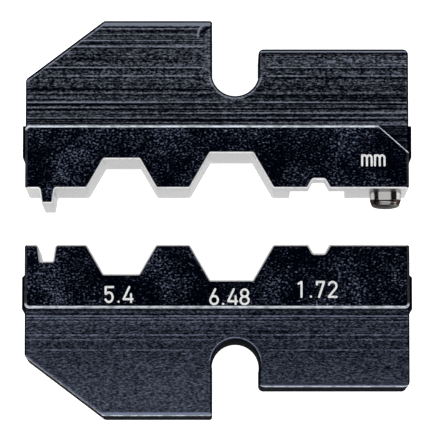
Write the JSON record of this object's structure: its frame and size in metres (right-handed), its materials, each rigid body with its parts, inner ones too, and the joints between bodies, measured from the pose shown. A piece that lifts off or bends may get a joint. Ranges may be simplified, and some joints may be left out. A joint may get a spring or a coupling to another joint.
{
  "type": "coaxial crimp die",
  "caption": "Die pair for a crimping hand tool: hexagonal nests between two tanged halves press coaxial ferrules and centre contacts; a pin and a tooth align them.",
  "frame": {"origin": "centre of the pair's box on the plane that both halves lie on, midway between their nest planes", "axes": "+X along the die from the locating tooth to the guide pin, +Y from the lower half to the upper half, +Z out of the marked front faces"},
  "size_m": [0.0344, 0.0352, 0.008],
  "materials": {
    "blackened_steel": "black oxide over ground tool steel, nests left bare",
    "bright_steel": "ground and polished dowel"
  },
  "bodies": {
    "lower_half": {"lower_die": "blackened_steel"},
    "upper_half": {"upper_die": "blackened_steel", "guide_pin": "bright_steel"}
  },
  "joints": [
    {"name": "die_closing", "type": "slide", "parent": "lower_half", "child": "upper_half", "axis": [0, -1, 0], "range_m": [0, 0.0048]}
  ]
}
